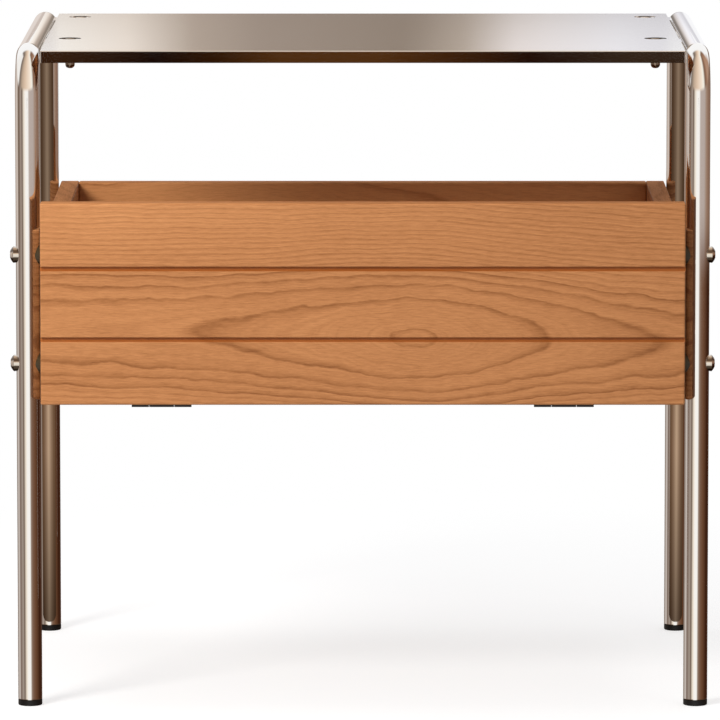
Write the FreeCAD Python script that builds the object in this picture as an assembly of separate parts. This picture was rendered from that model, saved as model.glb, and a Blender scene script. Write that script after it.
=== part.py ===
"""Magazine table: two chrome tube frames, a folded steel top and a wooden rack with a drop-front flap.

Millimetres, +Z up, front towards -Y, origin at the middle of the footprint on the floor.
"""
import FreeCAD
import Part
import math
import os

from FreeCAD import Vector

# Tube frames
tube_diameter = 15.0
tube_wall = 1.5
frame_spacing = 415.0      # between the centre planes of the two frames
leg_spacing = 296.0        # front leg to rear leg, axis to axis
bar_height = 404.7         # axis of the top bar above the floor
bend_radius = 24.0         # on the tube's axis

# Feet
foot_height = 3.5
foot_plug_length = 14.0
foot_edge_radius = 0.8

# Top sheet
sheet_thickness = 1.2
sheet_rise = 4.5           # top face above the axis of the bars
sheet_side_gap = 0.7
sheet_overhang = 2.0       # past the leg axes, front and rear
lip_height = 7.5
fold_radius = 0.5          # outside of the sharp folds to the lips
sheet_corner_radius = 0.5

# Tabs and bolts of the top sheet
tab_thickness = 4.0
tab_width = 26.0
tab_length = 27.0
tab_bolt_reach = 15.5      # from the tube's inner side to the bolt
front_tab_set = 94.2       # front leg's axis to the front tab
tab_pitch = 175.0          # front tab to rear tab
top_bolt_diameter = 6.0
top_bolt_length = 18.0     # with its head
top_bolt_tip_radius = 2.4
top_head_diameter = 13.9
countersink_diameter = 14.3
countersink_land = 0.6     # straight wall at the top face, so that the heads lie a little below it
top_socket_width = 4.0
top_socket_depth = 2.0
top_nut_width = 10.0
top_nut_height = 5.0
top_nut_chamfer = 0.7

# Rack
rack_gap = 1.0             # tube to wood, bridged by the spacers
panel_thickness = 12.0
panel_edge_radius = 1.0
rack_floor_height = 192.0  # underside of the rack above the floor
rack_wall_height = 105.8
rack_end_margin = 12.0     # walls past the leg axes, front and rear

# Flap
flap_thickness = 15.0
flap_height = 125.0
flap_edge_radius = 1.2
flap_gap = 0.5
groove_width = 2.5
groove_depth = 2.6
groove_chamfer = 0.5
outer_strip = 39.3         # strip above the upper groove and below the lower one

# Rack bolts, saddles and inserts
rack_bolt_diameter = 6.0
rack_head_diameter = 10.3
rack_head_height = 3.0
rack_head_rim = 0.7
rack_socket_width = 4.0
rack_socket_depth = 1.8
outer_saddle_diameter = 10.0
outer_saddle_thickness = 0.8
spacer_diameter = 11.8
lower_bolt_rise = 22.8     # above the underside of the rack
rack_bolt_pitch = 67.7
insert_diameter = 9.0
insert_length = 10.0
bolt_clearance = 0.2       # round a bolt in tube, tab, sheet and saddle

# Dowels
dowel_diameter = 6.0
dowel_in_face = 8.0
dowel_in_edge = 16.0
floor_dowel_pitch = 100.0
wall_dowel_low = 40.0      # above the underside of the rack
wall_dowel_pitch = 32.0
rear_dowel_inset = 52.0    # inner face of a side wall to the first dowel
rear_dowel_count = 4
floor_dowel_count = 3

# Hinges
hinge_length = 37.0
hinge_inset = 74.4         # end of the flap to the middle of a hinge
centre_knuckle = 15.2
knuckle_gap = 0.3
barrel_diameter = 4.4
hinge_pin_diameter = 2.0
pin_clearance = 0.05
leaf_thickness = 1.2
body_leaf_length = 17.0
flap_leaf_length = 11.5
mortise_clearance = 0.2
running_gap = 0.4          # between a barrel and what turns round it
hinge_screw_diameter = 3.0
hinge_screw_head = 5.2
hinge_screw_length = 9.0
hinge_screw_tip = 2.0
hinge_screw_pitch = 22.0
body_screw_reach = 10.5    # from the pin
flap_screw_reach = 7.5
screw_slot_width = 0.7
screw_slot_depth = 0.5

# Catches
magnet_diameter = 8.0
magnet_length = 5.0
magnet_drop = 10.0         # below the rim of the rack
strike_diameter = 10.0
strike_thickness = 1.0

# Places worked out from the sizes
tube_radius = tube_diameter / 2
frame_x = frame_spacing / 2
tube_inner_x = frame_x - tube_radius
flap_lead = rack_end_margin + flap_gap + flap_thickness
front_leg_y = flap_lead - (flap_lead + leg_spacing + rack_end_margin) / 2
rear_leg_y = front_leg_y + leg_spacing
leg_ys = (front_leg_y, rear_leg_y)

sheet_top = bar_height + sheet_rise
sheet_under = sheet_top - sheet_thickness
sheet_half_width = tube_inner_x - sheet_side_gap
sheet_front_y = front_leg_y - sheet_overhang
sheet_rear_y = rear_leg_y + sheet_overhang
tab_under = sheet_under - tab_thickness
tab_bolt_x = tube_inner_x - tab_bolt_reach
tab_ys = (front_leg_y + front_tab_set, front_leg_y + front_tab_set + tab_pitch)
top_bolt_hole = top_bolt_diameter / 2 + bolt_clearance
top_head_z = sheet_top - countersink_land - (countersink_diameter - top_head_diameter) / 2
top_bolt_end = top_head_z - top_bolt_length

rack_half_width = tube_inner_x - rack_gap
rack_inner_x = rack_half_width - panel_thickness
rack_front_y = front_leg_y - rack_end_margin
rack_rear_y = rear_leg_y + rack_end_margin
rack_inner_rear_y = rack_rear_y - panel_thickness
rack_floor_top = rack_floor_height + panel_thickness
rack_rim = rack_floor_height + rack_wall_height
flap_rear_y = rack_front_y - flap_gap
flap_front_y = flap_rear_y - flap_thickness
flap_top = rack_floor_height + flap_height
rack_bolt_zs = (rack_floor_height + lower_bolt_rise, rack_floor_height + lower_bolt_rise + rack_bolt_pitch)

barrel_radius = barrel_diameter / 2
pin_y = (rack_front_y + flap_rear_y) / 2
pin_z = rack_floor_height + leaf_thickness - barrel_radius
hinge_x = rack_half_width - hinge_inset
hinge_xs = {"left": -hinge_x, "right": hinge_x}
outer_knuckle = (hinge_length - centre_knuckle) / 2 - knuckle_gap

magnet_x = rack_half_width - panel_thickness / 2
magnet_z = rack_rim - magnet_drop
sides = {"left": -1, "right": 1}


def box(x0, x1, y0, y1, z0, z1):
    low = Vector(min(x0, x1), min(y0, y1), min(z0, z1))
    return Part.makeBox(abs(x1 - x0), abs(y1 - y0), abs(z1 - z0), low)


def rod(radius, start, end):
    line = end - start
    return Part.makeCylinder(radius, line.Length, start, line)


def prism(points, direction):
    return Part.Face(Part.makePolygon(points + points[:1])).extrude(direction)


def hexagon(width, centre, direction):
    """Hexagonal prism across the given flats, starting at centre and running along direction."""
    corner = width / math.sqrt(3)
    ring = [Vector(corner * math.cos(a), corner * math.sin(a), 0)
            for a in (math.radians(60 * n) for n in range(6))]
    solid = prism(ring, Vector(0, 0, direction.Length))
    turn = FreeCAD.Rotation(Vector(0, 0, 1), direction)
    solid.Placement = FreeCAD.Placement(centre, turn)
    return solid


def domed_head(radius, rim, height, centre, direction):
    """Low domed head: a short rim, then a spherical cap whose crown is on the axis."""
    rise = height - rim
    sphere = (radius ** 2 + rise ** 2) / (2 * rise)
    half_turn = math.asin(radius / sphere) / 2
    shoulder = Vector(sphere * math.sin(half_turn), 0, height - sphere * (1 - math.cos(half_turn)))
    outline = Part.Wire([
        Part.makeLine(Vector(0, 0, 0), Vector(radius, 0, 0)),
        Part.makeLine(Vector(radius, 0, 0), Vector(radius, 0, rim)),
        Part.Arc(Vector(radius, 0, rim), shoulder, Vector(0, 0, height)).toShape(),
        Part.makeLine(Vector(0, 0, height), Vector(0, 0, 0)),
    ])
    head = Part.Face(outline).revolve(Vector(0, 0, 0), Vector(0, 0, 1), 360)
    head.Placement = FreeCAD.Placement(centre, FreeCAD.Rotation(Vector(0, 0, 1), direction))
    return head


def rounded(solid, radius, keep):
    """Fillet the edges that keep() picks by their middle point and direction."""
    picked = []
    for edge in solid.Edges:
        start, end = (vertex.Point for vertex in edge.Vertexes)
        if keep((start + end) * 0.5, end - start):
            picked.append(edge)
    return solid.makeFillet(radius, picked)


def panel(x0, x1, y0, y1, z0, z1, radius=panel_edge_radius):
    solid = box(x0, x1, y0, y1, z0, z1)
    return solid.makeFillet(radius, solid.Edges)


def group(solids):
    return Part.makeCompound(solids)


def save(name, shape):
    shape.exportStep(os.path.join("parts", name + ".step"))


def countersunk_hole(x, y):
    """Cutter for a bolt through sheet and tab: a hole, a 90 degree countersink and a straight land."""
    flare = countersink_diameter / 2 - top_bolt_hole
    land_z = sheet_top - countersink_land
    cone = Part.makeCone(top_bolt_hole, countersink_diameter / 2, flare, Vector(x, y, land_z - flare))
    land = rod(countersink_diameter / 2, Vector(x, y, land_z), Vector(x, y, sheet_top))
    return cone.fuse([land, rod(top_bolt_hole, Vector(x, y, tab_under - 1), Vector(x, y, sheet_top))])


# Tube frames
def bent_tube(x, radius):
    """Front leg, top bar and rear leg as one swept bar on the plane at x."""
    leg_top = bar_height - bend_radius
    turn = bend_radius * (1 - math.sqrt(0.5))
    points = [
        Vector(x, front_leg_y, foot_height),
        Vector(x, front_leg_y, leg_top),
        Vector(x, front_leg_y + bend_radius, bar_height),
        Vector(x, rear_leg_y - bend_radius, bar_height),
        Vector(x, rear_leg_y, leg_top),
        Vector(x, rear_leg_y, foot_height),
    ]
    front_mid = Vector(x, front_leg_y + turn, bar_height - turn)
    rear_mid = Vector(x, rear_leg_y - turn, bar_height - turn)
    path = Part.Wire([
        Part.makeLine(points[0], points[1]),
        Part.Arc(points[1], front_mid, points[2]).toShape(),
        Part.makeLine(points[2], points[3]),
        Part.Arc(points[3], rear_mid, points[4]).toShape(),
        Part.makeLine(points[4], points[5]),
    ])
    section = Part.Wire([Part.makeCircle(radius, points[0], Vector(0, 0, 1))])
    return path.makePipeShell([section], True, False)


def tab(side, y):
    inner = side * (tube_inner_x - tab_length)
    plate = box(side * frame_x, inner, y - tab_width / 2, y + tab_width / 2, tab_under, sheet_under)
    corner = tab_width / 4
    plate = rounded(plate, corner, lambda mid, way: abs(way.z) > 0 and abs(mid.x - inner) < 1e-6)
    return plate.cut(countersunk_hole(side * tab_bolt_x, y))


def tube_frame(side):
    x = side * frame_x
    frame = bent_tube(x, tube_radius)
    for y in tab_ys:
        frame = frame.fuse(tab(side, y))
    frame = frame.cut(bent_tube(x, tube_radius - tube_wall))
    for y in leg_ys:
        for z in rack_bolt_zs:
            hole_reach = tube_radius + 1
            hole = rod(rack_bolt_diameter / 2 + bolt_clearance, Vector(x - hole_reach, y, z),
                       Vector(x + hole_reach, y, z))
            frame = frame.cut(hole)
    return frame.removeSplitter()


def foot(side, y):
    x = side * frame_x
    glide = rod(tube_radius, Vector(x, y, 0), Vector(x, y, foot_height))
    glide = glide.makeFillet(foot_edge_radius, [edge for edge in glide.Edges
                                                if edge.Closed and edge.CenterOfMass.z < foot_height / 2])
    plug = rod(tube_radius - tube_wall, Vector(x, y, foot_height),
               Vector(x, y, foot_height + foot_plug_length))
    return glide.fuse(plug)


# Top sheet with its bolts and nuts
def top_sheet():
    bottom = sheet_top - lip_height
    outer = box(-sheet_half_width, sheet_half_width, sheet_front_y, sheet_rear_y, bottom, sheet_top)
    outer = rounded(outer, fold_radius,
                    lambda mid, way: abs(way.x) > 0 and abs(mid.z - sheet_top) < 1e-6)
    inner = box(-sheet_half_width - 1, sheet_half_width + 1, sheet_front_y + sheet_thickness,
                sheet_rear_y - sheet_thickness, bottom - 1, sheet_under)
    plan = box(-sheet_half_width, sheet_half_width, sheet_front_y, sheet_rear_y, bottom, sheet_top)
    plan = rounded(plan, sheet_corner_radius, lambda mid, way: abs(way.z) > 0)
    sheet = outer.cut(inner).common(plan)
    for side in sides.values():
        for y in tab_ys:
            sheet = sheet.cut(countersunk_hole(side * tab_bolt_x, y))
    return sheet


def top_bolt(x, y):
    """Countersunk bolt with a hexagon socket and a rounded end."""
    radius = top_bolt_diameter / 2
    taper = top_head_diameter / 2 - radius
    head = Part.makeCone(radius, top_head_diameter / 2, taper, Vector(x, y, top_head_z - taper))
    shank = rod(radius, Vector(x, y, top_bolt_end), Vector(x, y, top_head_z))
    shank = shank.makeFillet(top_bolt_tip_radius, [edge for edge in shank.Edges
                                                   if edge.Closed and edge.CenterOfMass.z < tab_under])
    socket = hexagon(top_socket_width, Vector(x, y, top_head_z - top_socket_depth),
                     Vector(0, 0, top_socket_depth + 1))
    return head.fuse(shank).cut(socket)


def top_nut(x, y):
    seat = Vector(x, y, tab_under)
    depth = Vector(0, 0, -top_nut_height)
    nut = hexagon(top_nut_width, seat, depth)
    turned = rod(top_nut_width / math.sqrt(3), seat, seat + depth)
    turned = turned.makeChamfer(top_nut_chamfer, [edge for edge in turned.Edges if edge.Closed])
    return nut.common(turned).cut(rod(top_bolt_diameter / 2, seat, seat + depth))


# Rack bolts, saddles and inserts, in pairs on each leg
def leg_points(side):
    return [Vector(side * frame_x, y, z) for y in leg_ys for z in rack_bolt_zs]


def leg_bar(point):
    reach = spacer_diameter + rack_head_diameter
    return rod(tube_radius, point - Vector(0, 0, reach), point + Vector(0, 0, reach))


def bolt_hole(point):
    reach = Vector(frame_spacing, 0, 0)
    return rod(rack_bolt_diameter / 2 + bolt_clearance, point - reach, point + reach)


def outer_saddle(side, point):
    out = Vector(side, 0, 0)
    disc = rod(outer_saddle_diameter / 2, point, point + out * (tube_radius + outer_saddle_thickness))
    return disc.cut(leg_bar(point)).cut(bolt_hole(point))


def spacer_saddle(side, point):
    disc = rod(spacer_diameter / 2, point, point - Vector(side * (tube_radius + rack_gap), 0, 0))
    return disc.cut(leg_bar(point)).cut(bolt_hole(point))


def rack_bolt(side, point):
    out = Vector(side, 0, 0)
    seat = point + out * (tube_radius + outer_saddle_thickness)
    tip = point - out * (tube_radius + rack_gap + insert_length)
    head = domed_head(rack_head_diameter / 2, rack_head_rim, rack_head_height, seat, out)
    bolt = head.fuse(rod(rack_bolt_diameter / 2, tip, seat))
    socket = hexagon(rack_socket_width, seat + out * (rack_head_height - rack_socket_depth), out * rack_head_height)
    return bolt.cut(socket)


def insert_body(side, point):
    mouth = Vector(side * rack_half_width, point.y, point.z)
    return rod(insert_diameter / 2, mouth, mouth - Vector(side * insert_length, 0, 0))


def threaded_insert(side, point):
    mouth = Vector(side * rack_half_width, point.y, point.z)
    bore = rod(rack_bolt_diameter / 2, mouth, mouth - Vector(side * insert_length, 0, 0))
    return insert_body(side, point).cut(bore)


# Rack walls, floor and dowels
def dowels():
    """Glued pins: walls to floor, walls to rear panel, floor to rear panel."""
    pins = []
    radius = dowel_diameter / 2
    floor_z = rack_floor_height + panel_thickness / 2
    rear_y = rack_rear_y - panel_thickness / 2
    floor_middle_y = (rack_front_y + rack_inner_rear_y) / 2
    for side in sides.values():
        face_x = side * (rack_inner_x + dowel_in_face)
        edge_x = side * (rack_inner_x - dowel_in_edge)
        for n in range(floor_dowel_count):
            y = floor_middle_y + floor_dowel_pitch * (n - (floor_dowel_count - 1) / 2)
            pins.append(rod(radius, Vector(face_x, y, floor_z), Vector(edge_x, y, floor_z)))
        for n in range(2):
            z = rack_floor_height + wall_dowel_low + wall_dowel_pitch * n
            pins.append(rod(radius, Vector(face_x, rear_y, z), Vector(edge_x, rear_y, z)))
    first_x = rack_inner_x - rear_dowel_inset
    for n in range(rear_dowel_count):
        x = first_x * (2 * n / (rear_dowel_count - 1) - 1)
        pins.append(rod(radius, Vector(x, rack_inner_rear_y + dowel_in_face, floor_z),
                        Vector(x, rack_inner_rear_y - dowel_in_edge, floor_z)))
    return pins


def magnet(side):
    mouth = Vector(side * magnet_x, rack_front_y, magnet_z)
    return rod(magnet_diameter / 2, mouth, mouth + Vector(0, magnet_length, 0))


def strike_disc(side):
    face = Vector(side * magnet_x, flap_rear_y, magnet_z)
    return rod(strike_diameter / 2, face, face - Vector(0, strike_thickness, 0))


def side_wall(side, pins):
    wall = panel(side * rack_inner_x, side * rack_half_width, rack_front_y, rack_rear_y,
                 rack_floor_height, rack_rim)
    for point in leg_points(side):
        wall = wall.cut(insert_body(side, point))
    return wall.cut(group(pins)).cut(magnet(side))


def rear_panel(pins):
    wall = panel(-rack_inner_x, rack_inner_x, rack_inner_rear_y, rack_rear_y, rack_floor_height, rack_rim)
    return wall.cut(group(pins))


# Hinges: one leaf under the rack's floor, one under the flap, both let in flush
def knuckle(x0, x1, radius):
    return rod(radius, Vector(x0, pin_y, pin_z), Vector(x1, pin_y, pin_z))


def hinge_spans(x):
    """The knuckles of the body leaf, then those of the flap leaf, as pairs of x."""
    half = hinge_length / 2
    body = [(x - half, x - half + outer_knuckle), (x + half - outer_knuckle, x + half)]
    flap = [(x - centre_knuckle / 2, x + centre_knuckle / 2)]
    return body, flap


def screw_places(x, way):
    reach = body_screw_reach if way > 0 else flap_screw_reach
    return [Vector(x + side * hinge_screw_pitch / 2, pin_y + way * reach, rack_floor_height)
            for side in sides.values()]


def screw_core(place):
    """Countersunk screw without its slot; the same body cuts its hole."""
    head = Part.makeCone(hinge_screw_head / 2, hinge_screw_diameter / 2, leaf_thickness, place)
    shank_end = place + Vector(0, 0, hinge_screw_length - hinge_screw_tip)
    shank = rod(hinge_screw_diameter / 2, place, shank_end)
    tip = Part.makeCone(hinge_screw_diameter / 2, 0, hinge_screw_tip, shank_end)
    return head.fuse([shank, tip])


def hinge_screw(place):
    half = hinge_screw_head / 2
    slot_half = screw_slot_width / 2
    slot_top = place.z + screw_slot_depth
    slot = box(place.x - half, place.x + half, place.y - slot_half, place.y + slot_half, place.z, slot_top)
    return screw_core(place).cut(slot)


def hinge_leaf(x, way):
    """One leaf with its knuckles; way is +1 for the rack's floor and -1 for the flap."""
    body_spans, flap_spans = hinge_spans(x)
    own, other = (body_spans, flap_spans) if way > 0 else (flap_spans, body_spans)
    reach = body_leaf_length if way > 0 else flap_leaf_length
    bore = hinge_pin_diameter / 2 if way > 0 else hinge_pin_diameter / 2 + pin_clearance
    half = hinge_length / 2
    leaf = box(x - half, x + half, pin_y, pin_y + way * reach, rack_floor_height,
               rack_floor_height + leaf_thickness)
    for x0, x1 in other:
        notch = barrel_radius + running_gap
        leaf = leaf.cut(box(x0 - knuckle_gap, x1 + knuckle_gap, pin_y, pin_y + way * notch,
                            rack_floor_height - 1, rack_floor_height + leaf_thickness + 1))
    for x0, x1 in own:
        leaf = leaf.fuse(knuckle(x0, x1, barrel_radius))
    leaf = leaf.cut(knuckle(x - half - 1, x + half + 1, bore))
    for place in screw_places(x, way):
        leaf = leaf.cut(screw_core(place))
    return leaf.removeSplitter()


def hinge_pocket(x, way):
    """Room for one leaf, its screws and the barrel in the wood that carries the leaf."""
    half = hinge_length / 2 + mortise_clearance
    reach = (body_leaf_length if way > 0 else flap_leaf_length) + mortise_clearance
    pocket = box(x - half, x + half, pin_y - way * flap_gap, pin_y + way * reach, rack_floor_height - 1,
                 rack_floor_height + leaf_thickness)
    barrel = knuckle(x - half, x + half, barrel_radius + running_gap)
    return pocket.fuse([barrel] + [screw_core(place) for place in screw_places(x, way)])


def floor_panel(pins):
    floor = panel(-rack_inner_x, rack_inner_x, rack_front_y, rack_inner_rear_y,
                  rack_floor_height, rack_floor_top)
    for x in hinge_xs.values():
        floor = floor.cut(hinge_pocket(x, 1))
    return floor.cut(group(pins))


# Flap
def groove(low):
    """Cutter for a groove across the front face, with its mouth broken."""
    front = flap_front_y
    high = low + groove_width
    x = -rack_half_width - 1
    outline = [
        Vector(x, front - 1, low - groove_chamfer - 1),
        Vector(x, front + groove_chamfer, low),
        Vector(x, front + groove_depth, low),
        Vector(x, front + groove_depth, high),
        Vector(x, front + groove_chamfer, high),
        Vector(x, front - 1, high + groove_chamfer + 1),
    ]
    return prism(outline, Vector(2 * rack_half_width + 2, 0, 0))


def front_flap():
    flap = panel(-rack_half_width, rack_half_width, flap_front_y, flap_rear_y,
                 rack_floor_height, flap_top, flap_edge_radius)
    for low in (rack_floor_height + outer_strip, flap_top - outer_strip - groove_width):
        flap = flap.cut(groove(low))
    for x in hinge_xs.values():
        flap = flap.cut(hinge_pocket(x, -1))
    for side in sides.values():
        flap = flap.cut(strike_disc(side))
    return flap


def main():
    os.makedirs("parts", exist_ok=True)
    pins = dowels()
    for name, side in sides.items():
        points = leg_points(side)
        save(name + "_tube_frame", tube_frame(side))
        save("front_" + name + "_foot", foot(side, front_leg_y))
        save("rear_" + name + "_foot", foot(side, rear_leg_y))
        save("rack_" + name + "_side", side_wall(side, pins))
        save(name + "_rack_bolts", group([rack_bolt(side, point) for point in points]))
        save(name + "_outer_saddles", group([outer_saddle(side, point) for point in points]))
        save(name + "_spacer_saddles", group([spacer_saddle(side, point) for point in points]))
        save(name + "_threaded_inserts", group([threaded_insert(side, point) for point in points]))
    for name, x in hinge_xs.items():
        save(name + "_hinge_body_leaf", hinge_leaf(x, 1))
        save(name + "_hinge_flap_leaf", hinge_leaf(x, -1))
        save(name + "_hinge_pin", knuckle(x - hinge_length / 2, x + hinge_length / 2, hinge_pin_diameter / 2))
    bolt_places = [(side * tab_bolt_x, y) for side in sides.values() for y in tab_ys]
    save("top_sheet", top_sheet())
    save("top_bolts", group([top_bolt(x, y) for x, y in bolt_places]))
    save("top_nuts", group([top_nut(x, y) for x, y in bolt_places]))
    save("rack_rear_panel", rear_panel(pins))
    save("rack_bottom_panel", floor_panel(pins))
    save("rack_front_flap", front_flap())
    save("rack_dowels", group(pins))
    for name, way in (("hinge_body_screws", 1), ("hinge_flap_screws", -1)):
        save(name, group([hinge_screw(place) for x in hinge_xs.values() for place in screw_places(x, way)]))
    save("catch_magnets", group([magnet(side) for side in sides.values()]))
    save("strike_discs", group([strike_disc(side) for side in sides.values()]))


main()
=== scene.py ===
"""Looks of the magazine table: chrome tube, satin steel top and cherry rack in a plain pale studio."""
import math

import bmesh
import bpy
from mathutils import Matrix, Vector


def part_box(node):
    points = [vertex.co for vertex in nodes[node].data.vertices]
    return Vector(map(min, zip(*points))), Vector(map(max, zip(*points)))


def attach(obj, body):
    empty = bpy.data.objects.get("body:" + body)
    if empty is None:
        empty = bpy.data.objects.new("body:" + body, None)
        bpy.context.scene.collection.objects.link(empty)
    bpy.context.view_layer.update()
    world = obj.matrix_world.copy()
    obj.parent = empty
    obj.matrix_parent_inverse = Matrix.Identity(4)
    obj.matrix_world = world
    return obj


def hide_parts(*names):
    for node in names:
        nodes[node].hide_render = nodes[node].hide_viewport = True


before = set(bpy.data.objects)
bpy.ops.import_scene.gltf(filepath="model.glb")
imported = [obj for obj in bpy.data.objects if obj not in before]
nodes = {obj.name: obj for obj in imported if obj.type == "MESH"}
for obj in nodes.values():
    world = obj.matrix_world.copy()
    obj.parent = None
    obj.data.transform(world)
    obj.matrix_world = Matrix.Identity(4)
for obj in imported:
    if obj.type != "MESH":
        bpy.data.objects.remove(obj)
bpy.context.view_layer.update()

scene = bpy.context.scene
sides = ("left", "right")
white = (1.0, 1.0, 1.0)

# Tube frames, in metres
bend_radius = 0.024
bend_steps = 28
tube_sides = 64
tube_end_round = 0.0005
ring_gap = 0.0004
tab_thickness = 0.004
tab_width = 0.026
tab_corner = tab_width / 4
tab_corner_steps = 8
nut_radius = 0.005

# Stage, in metres
floor_half = 25.0
shadow_reach = (0.35, 0.75)    # from the middle of the table, where the floor turns plain white
wall_half = 0.4
wall_y = 1.1
wall_low = 0.2
wall_high = 0.8
card_half = 0.045
card_gap = 0.013               # from the front of the rear legs
card_low = 0.004
card_high = 0.4

# Camera, fitted to the feet, the rack and the corners of the top
camera_place = Vector((-0.0017, -4.7523, 0.7880))
camera_tilt = math.radians(7.062)
camera_lens = 374.3


class Graph:
    """Short calls for building a node tree."""

    def __init__(self, tree):
        self.tree = tree

    def node(self, kind, **settings):
        made = self.tree.nodes.new(kind)
        for key, value in settings.items():
            setattr(made, key, value)
        return made

    def put(self, socket, value):
        """Links an output to the socket, or sets a number or a colour of three numbers on it."""
        if isinstance(value, bpy.types.NodeSocket):
            self.tree.links.new(value, socket)
        elif socket.type == "RGBA":
            socket.default_value = (*value, 1.0)
        else:
            socket.default_value = value

    def put_all(self, made, values):
        for socket, value in zip(made.inputs, values):
            self.put(socket, value)
        return made.outputs[0]

    def math(self, operation, *values):
        return self.put_all(self.node("ShaderNodeMath", operation=operation), values)

    def add(self, *values):
        total = values[0]
        for value in values[1:]:
            total = self.math("ADD", total, value)
        return total

    def times(self, a, b):
        return self.math("MULTIPLY", a, b)

    def absolute(self, value):
        return self.math("ABSOLUTE", value)

    def vector(self, *values):
        return self.put_all(self.node("ShaderNodeCombineXYZ"), values)

    def parts(self, vector):
        made = self.node("ShaderNodeSeparateXYZ")
        self.put(made.inputs[0], vector)
        return made.outputs

    def noise(self, vector, scale, detail=2.0, roughness=0.5):
        made = self.node("ShaderNodeTexNoise")
        self.put(made.inputs["Vector"], vector)
        self.put(made.inputs["Scale"], scale)
        self.put(made.inputs["Detail"], detail)
        self.put(made.inputs["Roughness"], roughness)
        return made.outputs["Fac"]

    def stretched_noise(self, place, scales, detail=2.0, roughness=0.5):
        """Noise with a scale of its own along each of the place's three directions."""
        scaled = [self.times(value, scale) for value, scale in zip(place, scales)]
        return self.noise(self.vector(*scaled), 1.0, detail, roughness)

    def swing(self, noise, height):
        """Noise about zero instead of about a half."""
        return self.times(self.add(noise, -0.5), height)

    def spread(self, value, low, high, new_low, new_high):
        return self.put_all(self.node("ShaderNodeMapRange"), (value, low, high, new_low, new_high))

    def contrast(self, noise, new_low, new_high):
        """Spreads the middle of a noise, where most of it lies."""
        return self.spread(noise, 0.3, 0.7, new_low, new_high)

    def rising(self, value, low, high):
        return self.spread(value, low, high, 0.0, 1.0)

    def falling(self, value, low, high):
        return self.spread(value, low, high, 1.0, 0.0)

    def ramp(self, value, stops):
        """Colour ramp. A stop is a place with a colour or with one number for a grey."""
        made = self.node("ShaderNodeValToRGB")
        elements = made.color_ramp.elements
        while len(elements) < len(stops):
            elements.new(0.5)
        for element, (place, colour) in zip(elements, stops):
            element.position = place
            element.color = (*colour, 1.0) if isinstance(colour, tuple) else (colour, colour, colour, 1.0)
        self.put(made.inputs[0], value)
        return made.outputs["Color"]

    def blend(self, made, factor, a, b):
        self.put(made.inputs["Factor"], factor)
        self.put(made.inputs["A"], a)
        self.put(made.inputs["B"], b)
        return made.outputs["Result"]

    def mix(self, factor, a, b, blend_type="MIX"):
        """Mixes two colours."""
        return self.blend(self.node("ShaderNodeMix", data_type="RGBA", blend_type=blend_type), factor, a, b)

    def either(self, factor, a, b):
        """Mixes two numbers."""
        return self.blend(self.node("ShaderNodeMix", data_type="FLOAT"), factor, a, b)

    def bump(self, height, strength, distance):
        made = self.node("ShaderNodeBump")
        self.put(made.inputs["Height"], height)
        self.put(made.inputs["Strength"], strength)
        self.put(made.inputs["Distance"], distance)
        return made.outputs["Normal"]

    def place(self):
        return self.node("ShaderNodeTexCoord").outputs["Object"]

    def place_in_millimetres(self):
        made = self.node("ShaderNodeVectorMath", operation="SCALE")
        self.put(made.inputs[0], self.place())
        self.put(made.inputs["Scale"], 1000.0)
        return made.outputs[0]

    def normal(self):
        return self.parts(self.node("ShaderNodeNewGeometry").outputs["Normal"])

    def seen(self):
        """One for the camera's rays, straight or through something clear."""
        path = self.node("ShaderNodeLightPath").outputs
        return self.math("MAXIMUM", path["Is Camera Ray"], path["Is Transmission Ray"])


def new_material(name, **sockets):
    """A principled material and its graph, with uniform numbers on the shader's own sockets."""
    material = bpy.data.materials.new(name)
    material.use_nodes = True
    shader = material.node_tree.nodes["Principled BSDF"]
    for socket, value in sockets.items():
        shader.inputs[socket.replace("_", " ")].default_value = value
    return material, Graph(material.node_tree), shader.inputs


# Metals
def polished_metal(name, light, dark, smoothest, roughest):
    """Mirror metal with faint clouding and fine polishing marks in its roughness."""
    material, g, shader = new_material(name, Metallic=1.0)
    place = g.place_in_millimetres()
    cloud = g.noise(place, 0.045, 3.0)
    marks = g.noise(place, 1.9, 2.0, 0.7)
    wear = g.add(g.times(cloud, 0.6), g.times(marks, 0.4))
    g.put(shader["Base Color"], g.mix(cloud, dark, light))
    g.put(shader["Roughness"], g.contrast(wear, smoothest, roughest))
    return material


def painted_reflection_metal(name):
    """Polished steel with painted reflections: dark and light bands in its colour by the way a face points,
    down to up, in place of dark reflections and highlights.
    """
    material, g, shader = new_material(name, Metallic=1.0, Roughness=0.05)
    upward = g.rising(g.normal()[2], -1.0, 1.0)
    # Painted reflection: dark floor and walls low down and to the sides, light bands between
    g.put(shader["Base Color"], g.ramp(upward, [
        (0.0, (0.04, 0.03, 0.02)), (0.36, (0.07, 0.05, 0.035)), (0.43, (0.72, 0.66, 0.58)),
        (0.60, (0.80, 0.75, 0.68)), (0.67, (0.12, 0.09, 0.07)), (0.80, (0.16, 0.12, 0.09)),
        (0.90, (0.62, 0.56, 0.50)), (1.0, (0.70, 0.64, 0.58))]))
    return material


sheet_low, sheet_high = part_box("top_sheet")
sheet_middle_y = (sheet_low.y + sheet_high.y) / 2 * 1000
# Where the painted shade on the sheet's upright cut faces ends, in millimetres from the sheet's middle
edge_shade_end = (120.0, 125.0)     # millimetres from the sheet's middle, short of the lips


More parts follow.
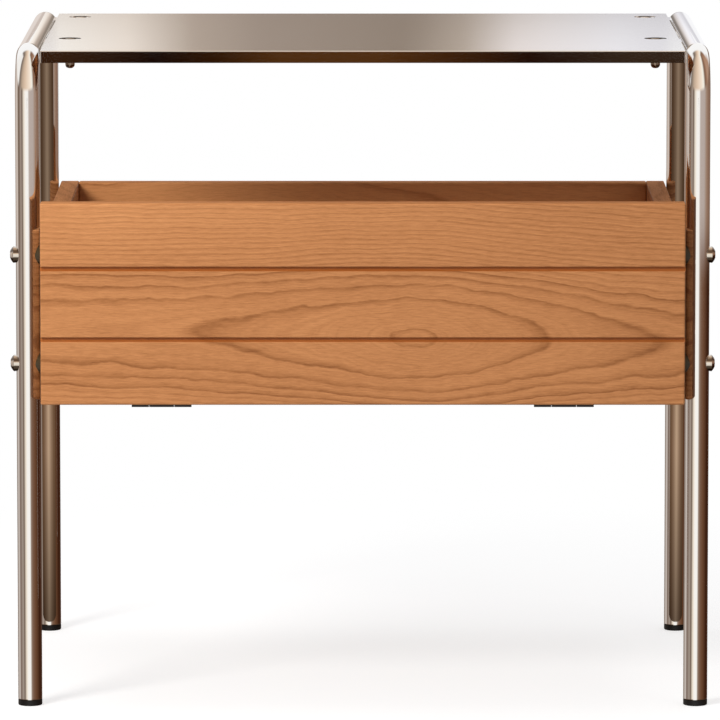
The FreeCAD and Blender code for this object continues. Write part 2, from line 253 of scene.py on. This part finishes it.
def sheet_steel():
    """Satin steel with a fine grain along the sheet, mirror smooth on the lips, and painted shade on its
    upright cut faces.
    """
    material, g, shader = new_material("satin_steel", Metallic=1.0)
    x, y, z = g.parts(g.place_in_millimetres())
    grain = g.stretched_noise((x, y, z), (0.02, 3.2, 3.2), 3.0, 0.6)
    cloud = g.stretched_noise((x, y, z), (0.008, 0.012, 0.012))
    flat = g.rising(g.absolute(g.normal()[2]), 0.2, 0.9)
    between_lips = g.falling(g.absolute(g.add(y, -sheet_middle_y)), *edge_shade_end)
    # Painted shade: near black on all the sheet's upright faces short of the lips
    painted_edge_shade = g.times(between_lips, g.math("SUBTRACT", 1.0, flat))
    bare = g.mix(grain, (0.80, 0.78, 0.76), (0.88, 0.87, 0.85))
    satin = g.add(g.contrast(grain, 0.07, 0.12), g.times(cloud, 0.04))
    g.put(shader["Base Color"], g.mix(painted_edge_shade, bare, (0.06, 0.045, 0.035)))
    g.put(shader["Roughness"], g.either(flat, 0.012, satin))
    g.put(shader["Normal"], g.bump(grain, g.times(flat, 0.03), 0.0001))
    return material


def plain_metal(name, light, dark, roughness):
    """Metal with a cloudy surface."""
    material, g, shader = new_material(name, Metallic=1.0)
    cloud = g.noise(g.place_in_millimetres(), 0.6, 3.0)
    g.put(shader["Base Color"], g.mix(cloud, dark, light))
    g.put(shader["Roughness"], g.contrast(cloud, roughness, roughness + 0.15))
    return material


# Dark plastic and blackened metal
def dark_finish(name, colour, roughness, grain_scale):
    """Dark finish with a fine grain, a little lighter where it is worn."""
    material, g, shader = new_material(name, Specular_IOR_Level=0.4)
    place = g.place_in_millimetres()
    grain = g.noise(place, grain_scale, 2.0, 0.6)
    worn = g.noise(place, 0.25, 3.0)
    lighter = tuple(1.8 * part for part in colour)
    g.put(shader["Base Color"], g.mix(worn, colour, lighter))
    g.put(shader["Roughness"], g.contrast(grain, roughness - 0.06, roughness + 0.08))
    g.put(shader["Normal"], g.bump(grain, 0.15, 0.0001))
    return material


# Wood, with lengths in millimetres
ring_radii = (5.9, 25.3, 33.6, 39.0, 43.5)
line_pitch = 2.9                  # of the even lines outside those rings
late_wood = 3.2                   # width of the dark wood inside a ring
ring_edge = 0.7                   # width over which it ends
ring_slope = 0.35                 # shift of the rings for each millimetre of depth
wave_height = 6.0
kink_band = (24.0, 42.0)          # across from the heart, where the kinks shrink
kink_heights = (7.0, 1.5)
sapwood_rings = (40.0, 75.0)
sapwood_along = (-190.0, -60.0)   # along from the heart, where the sapwood gets fainter
# Painted shade in the flap's grooves, in millimetres
groove_shade_sides = (2.2, 3.0)          # beside a groove's middle, where the painted shade ends
groove_shade_mouth = (0.2, 0.9)          # below the board's face, where it begins
groove_shade_bottom = (6.0, 8.0)         # below the board's face, where it ends
cherry_shades = [(0.0, (0.68, 0.308, 0.120)), (0.35, (0.54, 0.226, 0.083)),
                 (0.70, (0.39, 0.152, 0.050)), (1.0, (0.25, 0.086, 0.025))]
# colour of the painted shade in the grooves
groove_shade_colour = (0.42, 0.115, 0.012)
# Darker end grain with painted shade in it, for the board ends in the narrow gaps by the legs
end_wood_and_shade_colour = (0.13, 0.044, 0.013)


def growth_rings(g, place, heart, left, right, tilt):
    """How far along from the heart a place lies, and the radius of the growth ring through it."""
    along, across, deep = place
    wave = g.stretched_noise(place, (0.014, 0.03, 0.03))
    kink = g.stretched_noise(place, (0.05, 0.08, 0.06), 3.0)
    from_heart = g.add(along, -heart[0])
    height = g.add(across, -heart[1], g.times(from_heart, tilt), g.times(deep, ring_slope))
    kink_height = g.spread(g.absolute(height), *kink_band, *kink_heights)
    height = g.add(height, g.swing(wave, wave_height), g.swing(kink, kink_height))
    beyond = g.math("GREATER_THAN", from_heart, 0.0)
    reach = g.either(beyond, left[0], right[0])
    length = g.either(beyond, left[1], right[1])
    fall = g.math("EXPONENT", g.math("DIVIDE", g.times(g.absolute(from_heart), -1.0), length))
    side = g.times(reach, g.math("SUBTRACT", 1.0, fall))
    return from_heart, g.math("SQRT", g.add(g.times(height, height), g.times(side, side)))


def growth_lines(g, ring):
    """Dark late wood that ends sharply at each growth ring, first wide apart and then at an even pitch."""
    outer = g.add(ring, -ring_radii[-1])
    phase = g.math("FRACT", g.math("DIVIDE", outer, line_pitch))
    even = g.ramp(phase, [(0.0, 1.0), (0.16, 0.1), (0.35, 0.0), (0.7, 0.25), (1.0, 1.0)])
    line = g.times(g.math("GREATER_THAN", outer, 0.0), g.times(even, 0.6))
    for radius in ring_radii:
        inside = g.rising(ring, radius - late_wood, radius)
        outside = g.falling(ring, radius, radius + ring_edge)
        line = g.add(line, g.times(g.times(inside, inside), outside))
    return line


def groove_shaded(g, colour, across, deep, grooves):
    """The colour with painted shade in the grooves, whose middles are given across the board."""
    for middle in grooves:
        beside = g.absolute(g.add(across, -middle))
        inside = g.times(g.rising(deep, *groove_shade_mouth), g.falling(deep, *groove_shade_bottom))
        painted_groove_shade = g.times(g.spread(beside, *groove_shade_sides, 0.8, 0.0), inside)
        colour = g.mix(painted_groove_shade, colour, groove_shade_colour)
    return colour


def cherry(name, axes, face, heart, left, right, tilt, painted_shading=0.0, grooves=()):
    """Oiled cherry board. axes names the directions along, across and through it, face is where its
    outer side lies. Growth lines close round a heart, given along and across in millimetres. left and
    right give how far the lines spread and how soon on each side of it. painted_shading is painted shade
    on all faces but those that point up, and painted light on them where it is below zero."""
    material, g, shader = new_material(name, Specular_IOR_Level=0.3)
    by_axis = dict(zip("XYZ", g.parts(g.place_in_millimetres())))
    along = by_axis[axes[0]]
    across = by_axis[axes[1]]
    deep = g.absolute(g.add(by_axis[axes[2]], -face))
    place = (along, across, deep)
    from_heart, ring = growth_rings(g, place, heart, left, right, tilt)
    line = growth_lines(g, ring)
    fade = g.contrast(g.stretched_noise(place, (0.02, 0.25, 1.0)), 0.55, 1.0)
    streak = g.stretched_noise((from_heart, ring, deep), (0.012, 0.9, 0.05), 3.0, 0.6)
    fibre = g.stretched_noise(place, (0.11, 1.3, 1.3), 3.0, 0.75)
    pore = g.rising(g.stretched_noise(place, (0.16, 3.2, 3.2), 1.0), 0.62, 0.72)
    broad = g.stretched_noise(place, (0.006, 0.018, 0.02))
    sapwood = g.times(g.spread(ring, *sapwood_rings, 0.0, 0.24),
                      g.spread(from_heart, *sapwood_along, 1.0, 0.2))
    normal = dict(zip("XYZ", g.normal()))
    not_upward = g.falling(normal["Z"], 0.5, 0.9)
    shade = g.add(
        0.37,
        # painted shade on faces that do not point up, or painted light where it is below zero
        g.times(not_upward, painted_shading),
        g.times(g.times(line, fade), 0.53),
        g.swing(streak, 0.45),
        g.swing(fibre, 0.9),
        g.swing(broad, 0.30),
        g.times(pore, 0.16),
        g.times(sapwood, -1.0))
    colour = groove_shaded(g, g.ramp(shade, cherry_shades), across, deep, grooves)
    # Dark ends: partly the darker end grain, partly painted shade
    end_wood_and_shade = g.spread(g.absolute(normal[axes[0]]), 0.7, 0.95, 0.0, 0.85)
    oiled = g.add(0.30, g.times(fibre, 0.14), g.times(line, 0.06))
    g.put(shader["Base Color"], g.mix(end_wood_and_shade, colour, end_wood_and_shade_colour))
    g.put(shader["Roughness"], g.either(not_upward, 0.95, oiled))
    g.put(shader["Normal"], g.bump(g.add(fibre, g.times(pore, -0.6)), 0.10, 0.0002))
    return material


def beech():
    material, g, shader = new_material("bare_beech", Roughness=0.6)
    fleck = g.stretched_noise(g.parts(g.place_in_millimetres()), (0.4, 1.2, 1.2), 3.0)
    g.put(shader["Base Color"], g.ramp(fleck, [(0.3, (0.62, 0.44, 0.27)), (0.7, (0.46, 0.29, 0.16))]))
    return material


chrome = polished_metal("mirror_chrome", (0.93, 0.92, 0.91), (0.90, 0.89, 0.88), 0.02, 0.05)
fastener = polished_metal("polished_steel", (0.88, 0.86, 0.84), (0.80, 0.78, 0.76), 0.06, 0.14)
# Painted dark reflection: a darkened steel colour on the top bolts in place of the dark surroundings they
# mirror
dark_painted_reflection_fastener = polished_metal("dark_painted_reflection_steel", (0.34, 0.27, 0.21), (0.26, 0.20, 0.155), 0.05, 0.12)
rack_fastener_painted_reflection = painted_reflection_metal("rack_steel_painted_reflection")
steel = sheet_steel()
plastic = dark_finish("black_plastic", (0.004, 0.004, 0.0045), 0.5, 2.6)
brown_plastic = dark_finish("brown_plastic", (0.040, 0.028, 0.012), 0.4, 2.0)
hinge_black = dark_finish("black_hinge_metal", (0.007, 0.007, 0.007), 0.36, 1.4)
brass = plain_metal("insert_brass", (0.80, 0.58, 0.28), (0.62, 0.42, 0.18), 0.25)
nickel = plain_metal("nickel", (0.72, 0.70, 0.66), (0.58, 0.56, 0.52), 0.2)
dowel_wood = beech()

flap_low, flap_high = (corner * 1000 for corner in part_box("rack_front_flap"))
rear_low, rear_high = (corner * 1000 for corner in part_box("rack_rear_panel"))
left_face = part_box("rack_left_side")[0].x * 1000
right_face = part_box("rack_right_side")[1].x * 1000
floor_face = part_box("rack_bottom_panel")[1].z * 1000
flap_heart = (32.5, (flap_low.z + flap_high.z) / 2 - 20.5)
flap_grooves = (flap_low.z + 40.55, flap_low.z + 84.45)
flap_wood = cherry("cherry_flap", "XZY", flap_low.y, flap_heart,
                   left=(29.0, 66.0), right=(39.5, 80.0), tilt=0.02, grooves=flap_grooves)
# The rear board gets painted light and the side boards painted shade, on their faces that do not point up.
rear_wood = cherry("cherry_rear", "XZY", rear_low.y, (-90.0, rear_high.z - 20),
                   left=(30.0, 140.0), right=(34.0, 110.0), tilt=-0.02, painted_shading=-0.3)
left_wood = cherry("cherry_left", "YZX", left_face, (60.0, rear_low.z + 30),
                   left=(30.0, 110.0), right=(36.0, 90.0), tilt=0.03, painted_shading=0.3)
right_wood = cherry("cherry_right", "YZX", right_face, (-40.0, rear_low.z + 62),
                    left=(34.0, 90.0), right=(30.0, 120.0), tilt=-0.03, painted_shading=0.3)
floor_wood = cherry("cherry_floor", "XYZ", floor_face, (40.0, 40.0),
                    left=(38.0, 120.0), right=(34.0, 100.0), tilt=0.02)

finishes = {
    "top_sheet": steel,
    "top_bolts": dark_painted_reflection_fastener,
    "top_nuts": fastener,
    "rack_front_flap": flap_wood,
    "rack_rear_panel": rear_wood,
    "rack_left_side": left_wood,
    "rack_right_side": right_wood,
    "rack_bottom_panel": floor_wood,
    "rack_dowels": dowel_wood,
    "hinge_body_screws": hinge_black,
    "hinge_flap_screws": hinge_black,
    "catch_magnets": nickel,
    "strike_discs": nickel,
}
for side in sides:
    finishes["front_" + side + "_foot"] = plastic
    finishes["rear_" + side + "_foot"] = plastic
    finishes[side + "_tube_frame"] = chrome
    finishes[side + "_rack_bolts"] = rack_fastener_painted_reflection
    finishes[side + "_outer_saddles"] = rack_fastener_painted_reflection
    finishes[side + "_spacer_saddles"] = brown_plastic
    finishes[side + "_threaded_inserts"] = brass
    finishes[side + "_hinge_body_leaf"] = hinge_black
    finishes[side + "_hinge_flap_leaf"] = hinge_black
    finishes[side + "_hinge_pin"] = nickel
for name, finish in finishes.items():
    nodes[name].data.materials.clear()
    nodes[name].data.materials.append(finish)


# Tube frames as fine swept meshes
def tube_stations(front_y, rear_y, low, bar_z):
    """Centre, direction and inset of the rings from the front foot over the bar to the rear foot.
    An extra ring at both ends of each straight run keeps its shading straight."""
    edge = low + tube_end_round
    bend_z = bar_z - bend_radius
    rows = [(front_y, low, 0.0, tube_end_round), (front_y, edge, 0.0, 0.0),
            (front_y, edge + ring_gap, 0.0, 0.0), (front_y, bend_z - ring_gap, 0.0, 0.0)]
    for step in range(bend_steps + 1):
        turn = math.pi / 2 * step / bend_steps
        y = front_y + bend_radius * (1 - math.cos(turn))
        z = bend_z + bend_radius * math.sin(turn)
        rows.append((y, z, turn, 0.0))
    rows.append((front_y + bend_radius + ring_gap, bar_z, math.pi / 2, 0.0))
    rows.append((rear_y - bend_radius - ring_gap, bar_z, math.pi / 2, 0.0))
    for step in range(bend_steps + 1):
        turn = math.pi / 2 * step / bend_steps
        y = rear_y - bend_radius * (1 - math.sin(turn))
        z = bend_z + bend_radius * math.cos(turn)
        rows.append((y, z, math.pi / 2 + turn, 0.0))
    rows += [(rear_y, bend_z - ring_gap, math.pi, 0.0), (rear_y, edge + ring_gap, math.pi, 0.0),
             (rear_y, edge, math.pi, 0.0), (rear_y, low, math.pi, tube_end_round)]
    return rows


def sweep(mesh, x, rows, radius):
    """Closed round bar through the rows of tube_stations."""
    rings = []
    for y, z, turn, inset in rows:
        out_y, out_z = -math.cos(turn), math.sin(turn)
        ring = []
        for n in range(tube_sides):
            angle = 2 * math.pi * n / tube_sides
            across = (radius - inset) * math.cos(angle)
            outward = (radius - inset) * math.sin(angle)
            ring.append(mesh.verts.new((x + across, y + outward * out_y, z + outward * out_z)))
        rings.append(ring)
    for first, second in zip(rings, rings[1:]):
        for n in range(tube_sides):
            m = (n + 1) % tube_sides
            mesh.faces.new((first[n], first[m], second[m], second[n])).smooth = True
    mesh.faces.new(rings[0][::-1])
    mesh.faces.new(rings[-1])


def add_tab(mesh, tube_x, inner_x, y, top):
    """Plate with two rounded corners, welded to the tube's inner side."""
    way = 1 if inner_x > tube_x else -1
    near_y = y - tab_width / 2
    far_y = y + tab_width / 2
    outline = [(tube_x, near_y)]
    for start, centre_y in ((-90, near_y + tab_corner), (0, far_y - tab_corner)):
        for step in range(tab_corner_steps + 1):
            angle = math.radians(start + 90 * step / tab_corner_steps)
            outline.append((inner_x - way * tab_corner + way * tab_corner * math.cos(angle),
                            centre_y + tab_corner * math.sin(angle)))
    outline.append((tube_x, far_y))
    upper = [mesh.verts.new((px, py, top)) for px, py in outline]
    lower = [mesh.verts.new((px, py, top - tab_thickness)) for px, py in outline]
    mesh.faces.new(upper)
    mesh.faces.new(lower[::-1])
    for n in range(len(outline)):
        m = (n + 1) % len(outline)
        mesh.faces.new((upper[n], lower[n], lower[m], upper[m]))


def finish_mesh(mesh, name, material, body):
    """Turns the mesh into a piece that rides on a body, with the given finish."""
    bmesh.ops.recalc_face_normals(mesh, faces=mesh.faces)
    data = bpy.data.meshes.new(name)
    mesh.to_mesh(data)
    mesh.free()
    piece = bpy.data.objects.new(name, data)
    scene.collection.objects.link(piece)
    data.materials.append(material)
    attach(piece, body)
    return piece


def leg_axis(foot):
    """Where the leg over a foot stands, in x and y."""
    low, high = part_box(foot)
    return (low.x + high.x) / 2, (low.y + high.y) / 2


def chrome_frame(side):
    """One tube from foot to foot with its two tabs. The feet give its axis and its radius."""
    x, front_y = leg_axis("front_" + side + "_foot")
    rear_y = leg_axis("rear_" + side + "_foot")[1]
    foot_low, foot_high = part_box("front_" + side + "_foot")
    radius = (foot_high.x - foot_low.x) / 2
    low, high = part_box(side + "_tube_frame")
    inner_x = high.x if side == "left" else low.x
    nut_low, nut_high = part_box("top_nuts")
    mesh = bmesh.new()
    sweep(mesh, x, tube_stations(front_y, rear_y, low.z, high.z - radius), radius)
    for y in (nut_low.y + nut_radius, nut_high.y - nut_radius):
        add_tab(mesh, x, inner_x, y, nut_high.z + tab_thickness)
    piece = finish_mesh(mesh, side + "_chrome_frame", chrome, "table")
    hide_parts(side + "_tube_frame")


for side in sides:
    chrome_frame(side)


# Studio
def stage_plane(name, corners, material):
    data = bpy.data.meshes.new(name)
    data.from_pydata(corners, [], [tuple(range(len(corners)))])
    plane = bpy.data.objects.new(name, data)
    scene.collection.objects.link(plane)
    data.materials.append(material)
    return plane


def upright_corners(first_x, last_x, y, low, high):
    """Corners of an upright plane, whose front points to -Y where it runs from left to right."""
    return [(first_x, y, low), (last_x, y, low), (last_x, y, high), (first_x, y, high)]


def bare_material(name):
    """A material without a shader yet, its graph and the socket that takes its surface."""
    material = bpy.data.materials.new(name)
    material.use_nodes = True
    tree = material.node_tree
    tree.nodes.remove(tree.nodes["Principled BSDF"])
    return material, Graph(tree), tree.nodes["Material Output"].inputs["Surface"]


def clear_behind(g, shader):
    """The shader on the front of a plane, nothing on its back."""
    behind = g.node("ShaderNodeNewGeometry").outputs["Backfacing"]
    clear = g.node("ShaderNodeBsdfTransparent")
    return g.put_all(g.node("ShaderNodeMixShader"), (behind, shader.outputs[0], clear.outputs[0]))


def pale_floor():
    """White to the camera, clear from below. Near the table a part of that white is the lamps' light, so
    the shadow stays."""
    material, g, surface = bare_material("pale_floor")
    x, y, z = g.parts(g.place())
    distance = g.math("SQRT", g.add(g.times(x, x), g.times(y, y)))
    seen = g.seen()
    far = g.times(seen, g.rising(distance, *shadow_reach))
    matt = g.node("ShaderNodeBsdfDiffuse")
    g.put(matt.inputs["Color"], g.mix(far, (0.45, 0.45, 0.45), (0.0, 0.0, 0.0)))
    glow = g.node("ShaderNodeEmission")
    g.put(glow.inputs["Strength"], g.add(g.times(seen, 0.66), g.times(far, 0.34)))
    both = g.node("ShaderNodeAddShader")
    g.put_all(both, (matt.outputs[0], glow.outputs[0]))
    g.put(surface, clear_behind(g, both))
    return material


def back_wall():
    """Wall seen in the top sheet and the bars only, paler to both sides and more so higher up."""
    material, g, surface = bare_material("back_wall")
    x, y, z = g.parts(g.place())
    across = g.rising(x, -wall_half, wall_half)
    dim = g.ramp(across, [
        (0.192, (0.60, 0.51, 0.46)), (0.203, (0.84, 0.76, 0.70)), (0.27, (0.75, 0.66, 0.58)),
        (0.335, (0.475, 0.385, 0.325)), (0.40, (0.36, 0.29, 0.24)), (0.56, (0.29, 0.23, 0.185)),
        (0.62, (0.44, 0.37, 0.32)), (0.68, (0.64, 0.59, 0.57)), (0.75, (0.66, 0.64, 0.67)),
        (0.83, (0.66, 0.65, 0.69))])
    bright = g.ramp(across, [
        (0.192, (0.62, 0.53, 0.48)), (0.203, (1.0, 0.96, 0.90)), (0.27, (0.92, 0.83, 0.75)),
        (0.335, (0.46, 0.38, 0.315)), (0.40, (0.36, 0.29, 0.24)), (0.54, (0.295, 0.235, 0.187)),
        (0.60, (0.50, 0.42, 0.35)), (0.65, (0.92, 0.85, 0.83)), (0.75, (0.95, 0.94, 0.98)),
        (0.83, (0.78, 0.77, 0.82))])
    low = g.ramp(across, [
        (0.16, (0.76, 0.68, 0.63)), (0.20, (0.30, 0.24, 0.19)), (0.80, (0.22, 0.20, 0.19)),
        (0.84, (0.95, 0.95, 0.97))])
    upper = g.mix(g.rising(z, 0.48, 0.512), dim, bright)
    beside_bars = g.rising(g.absolute(x), 0.236, 0.244)
    crown = g.times(beside_bars, g.rising(z, 0.5065, 0.509))
    upper = g.mix(crown, upper, white)
    glow = g.node("ShaderNodeEmission")
    g.put(glow.inputs["Color"], g.mix(g.rising(z, 0.452, 0.476), low, upper))
    g.put(surface, glow.outputs[0])
    return material


def painted_reflection_card(middle_x):
    """Painted reflection for a rear leg: brown seen from behind only, lightest in line with the leg and at
    mid height, in place of the shaded surroundings that leg mirrors.
    """
    material, g, surface = bare_material("painted_reflection_card")
    x, y, z = g.parts(g.place())
    aside = g.rising(g.absolute(g.add(x, -middle_x)), 0.0, card_half)
    across = g.ramp(aside, [(0.0, (0.52, 0.36, 0.24)), (0.18, (0.30, 0.19, 0.12)), (0.4, (0.18, 0.10, 0.055)),
                            (1.0, (0.12, 0.065, 0.035))])
    height = g.ramp(g.rising(z, 0.0, card_high),
                    [(0.0, 0.3), (0.3, 1.0), (0.45, 1.0), (0.65, 0.5), (1.0, 0.5)])
    glow = g.node("ShaderNodeEmission")
    g.put(glow.inputs["Color"], g.mix(1.0, across, height, "MULTIPLY"))
    g.put(surface, clear_behind(g, glow))
    return material


def show_to_metal_only(plane):
    plane.visible_camera = False
    plane.visible_diffuse = False
    plane.visible_shadow = False
    plane.visible_transmission = False


floor_corners = [(-floor_half, -floor_half, 0), (floor_half, -floor_half, 0),
                 (floor_half, floor_half, 0), (-floor_half, floor_half, 0)]
floor = stage_plane("floor", floor_corners, pale_floor())
floor.visible_glossy = False
wall_corners = upright_corners(-wall_half, wall_half, wall_y, wall_low, wall_high)
show_to_metal_only(stage_plane("back_wall", wall_corners, back_wall()))
# Cards just in front of the rear legs, giving them a painted dark reflection
for side in sides:
    foot = "rear_" + side + "_foot"
    x = leg_axis(foot)[0]
    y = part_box(foot)[0].y - card_gap
    card_corners = upright_corners(x + card_half, x - card_half, y, card_low, card_high)
    show_to_metal_only(stage_plane(side + "_leg_painted_reflection", card_corners, painted_reflection_card(x)))


# Directions in degrees: the narrow field that the front lip of the sheet mirrors
lip_turn = 2.6
lip_turn_edge = 0.05
lip_rise_low = -5.0
lip_rise_high = -4.58
lip_rise_edge = 0.04


def metal_room(g):
    """Room of white, cream, grey and brown that polished metal reflects, by direction. The low and the mid
    ramp run once round it, from behind over the left, the front and the right, the high one from left to
    right over the ceiling."""
    x, y, z = g.parts(g.node("ShaderNodeTexCoord").outputs["Generated"])
    turn = g.times(g.math("ARCTAN2", x, g.times(y, -1.0)), 180 / math.pi)
    rise = g.times(g.math("ARCSINE", z), 180 / math.pi)
    sideways = g.absolute(x)
    around = g.rising(turn, -180.0, 180.0)
    low_room = g.ramp(around, [
        (0.00, (0.20, 0.15, 0.12)), (0.10, (0.30, 0.24, 0.20)), (0.19, (0.66, 0.59, 0.54)),
        (0.24, (0.20, 0.137, 0.106)), (0.33, (0.40, 0.33, 0.28)), (0.365, (0.14, 0.09, 0.06)),
        (0.42, (0.90, 0.79, 0.66)), (0.46, (1.0, 0.97, 0.92)), (0.525, (1.0, 0.98, 0.94)),
        (0.555, (0.32, 0.23, 0.175)), (0.60, (0.20, 0.11, 0.07)), (0.67, (0.15, 0.066, 0.033)),
        (0.81, (0.036, 0.009, 0.003)), (0.88, (0.07, 0.029, 0.016)), (1.0, (0.10, 0.06, 0.04))])
    mid_room = g.ramp(around, [
        (0.00, (0.20, 0.13, 0.09)), (0.19, (0.72, 0.62, 0.55)), (0.25, (0.14, 0.088, 0.055)),
        (0.33, (0.40, 0.32, 0.27)), (0.365, (0.15, 0.10, 0.07)), (0.415, (0.88, 0.78, 0.66)),
        (0.46, (1.0, 0.97, 0.92)), (0.52, (1.0, 0.98, 0.95)), (0.555, (0.52, 0.44, 0.40)),
        (0.66, (0.50, 0.42, 0.38)), (0.73, (0.37, 0.245, 0.175)), (0.81, (0.27, 0.156, 0.106)),
        (1.0, (0.20, 0.13, 0.09))])
    ceiling_turn = g.math("ARCTAN2", x, g.math("MAXIMUM", 0.3, g.math("SUBTRACT", 0.55, y)))
    high_room = g.ramp(g.rising(ceiling_turn, -math.pi / 2, math.pi / 2), [
        (0.00, (0.95, 0.93, 0.90)), (0.17, (0.95, 0.93, 0.90)), (0.205, (0.20, 0.155, 0.13)),
        (0.25, (0.28, 0.22, 0.17)), (0.33, (0.56, 0.42, 0.31)), (0.44, (0.78, 0.59, 0.44)),
        (0.50, (0.86, 0.68, 0.53)), (0.61, (0.98, 0.84, 0.70)), (0.68, (1.0, 0.97, 0.87)),
        (0.75, (0.24, 0.14, 0.09)), (0.80, (0.28, 0.15, 0.095)), (0.87, (0.46, 0.265, 0.17)),
        (1.0, (0.46, 0.40, 0.36))])
    lip_field = g.ramp(g.rising(turn, -lip_turn, lip_turn), [
        (0.06, (0.038, 0.014, 0.005)), (0.20, (0.008, 0.002, 0.001)), (0.29, (0.030, 0.008, 0.001)),
        (0.38, (0.085, 0.030, 0.006)), (0.53, (0.088, 0.031, 0.006)), (0.62, (0.056, 0.017, 0.003)),
        (0.75, (0.014, 0.003, 0.001)), (0.90, (0.038, 0.020, 0.011))])
    room = g.mix(g.rising(rise, -6.4, -6.0), low_room, mid_room)
    room = g.mix(g.rising(rise, 8.0, 16.0), room, high_room)
    lamp_panel = g.times(g.rising(y, 0.44, 0.56), g.falling(sideways, 0.55, 0.72))
    room = g.mix(g.times(lamp_panel, g.rising(rise, 6.0, 9.0)), room, white)
    low_sides = g.times(g.falling(z, -0.42, -0.30), g.rising(sideways, 0.25, 0.4))
    room = g.mix(low_sides, room, (0.09, 0.05, 0.03))
    in_lip_turn = g.falling(g.absolute(turn), lip_turn - lip_turn_edge, lip_turn + lip_turn_edge)
    in_lip_rise = g.times(g.rising(rise, lip_rise_low, lip_rise_low + lip_rise_edge),
                          g.falling(rise, lip_rise_high - lip_rise_edge, lip_rise_high))
    return g.mix(g.times(in_lip_turn, in_lip_rise), room, lip_field)


def studio_world():
    """White to the camera, an even pale light on matt surfaces, and the room for polished metal."""
    world = bpy.data.worlds.new("studio")
    scene.world = world
    world.use_nodes = True
    tree = world.node_tree
    g = Graph(tree)
    pale = g.mix(g.seen(), (0.40, 0.40, 0.41), white)
    on_metal = g.node("ShaderNodeLightPath").outputs["Is Glossy Ray"]
    g.put(tree.nodes["Background"].inputs["Color"], g.mix(on_metal, pale, metal_room(g)))


def soft_lamp(name, place, aim, size, power, colour):
    data = bpy.data.lights.new(name, "AREA")
    data.shape = "DISK"
    data.size = size
    data.energy = power
    data.color = colour
    lamp = bpy.data.objects.new(name, data)
    lamp.location = place
    lamp.rotation_euler = (Vector(aim) - Vector(place)).to_track_quat("-Z", "Y").to_euler()
    lamp.visible_glossy = False
    scene.collection.objects.link(lamp)


studio_world()
soft_lamp("key_lamp", (-0.95, -1.25, 1.05), (-0.1, -0.15, 0.26), 0.6, 21.5, (1.0, 0.98, 0.95))
soft_lamp("fill_lamp", (1.8, -1.8, 0.9), (0.0, 0.0, 0.2), 1.2, 5.0, (1.0, 0.98, 0.96))
soft_lamp("top_lamp", (0.0, 0.3, 2.4), (0.0, 0.0, 0.2), 1.8, 17.0, white)

# Camera
camera_data = bpy.data.cameras.new("camera")
camera_data.lens = camera_lens
camera_data.sensor_width = 36.0
camera_data.clip_end = 200.0
camera = bpy.data.objects.new("camera", camera_data)
camera.location = camera_place
camera.rotation_euler = (math.pi / 2 - camera_tilt, 0.0, 0.0)
scene.collection.objects.link(camera)
scene.camera = camera
scene.view_settings.view_transform = "Standard"

bpy.context.view_layer.update()
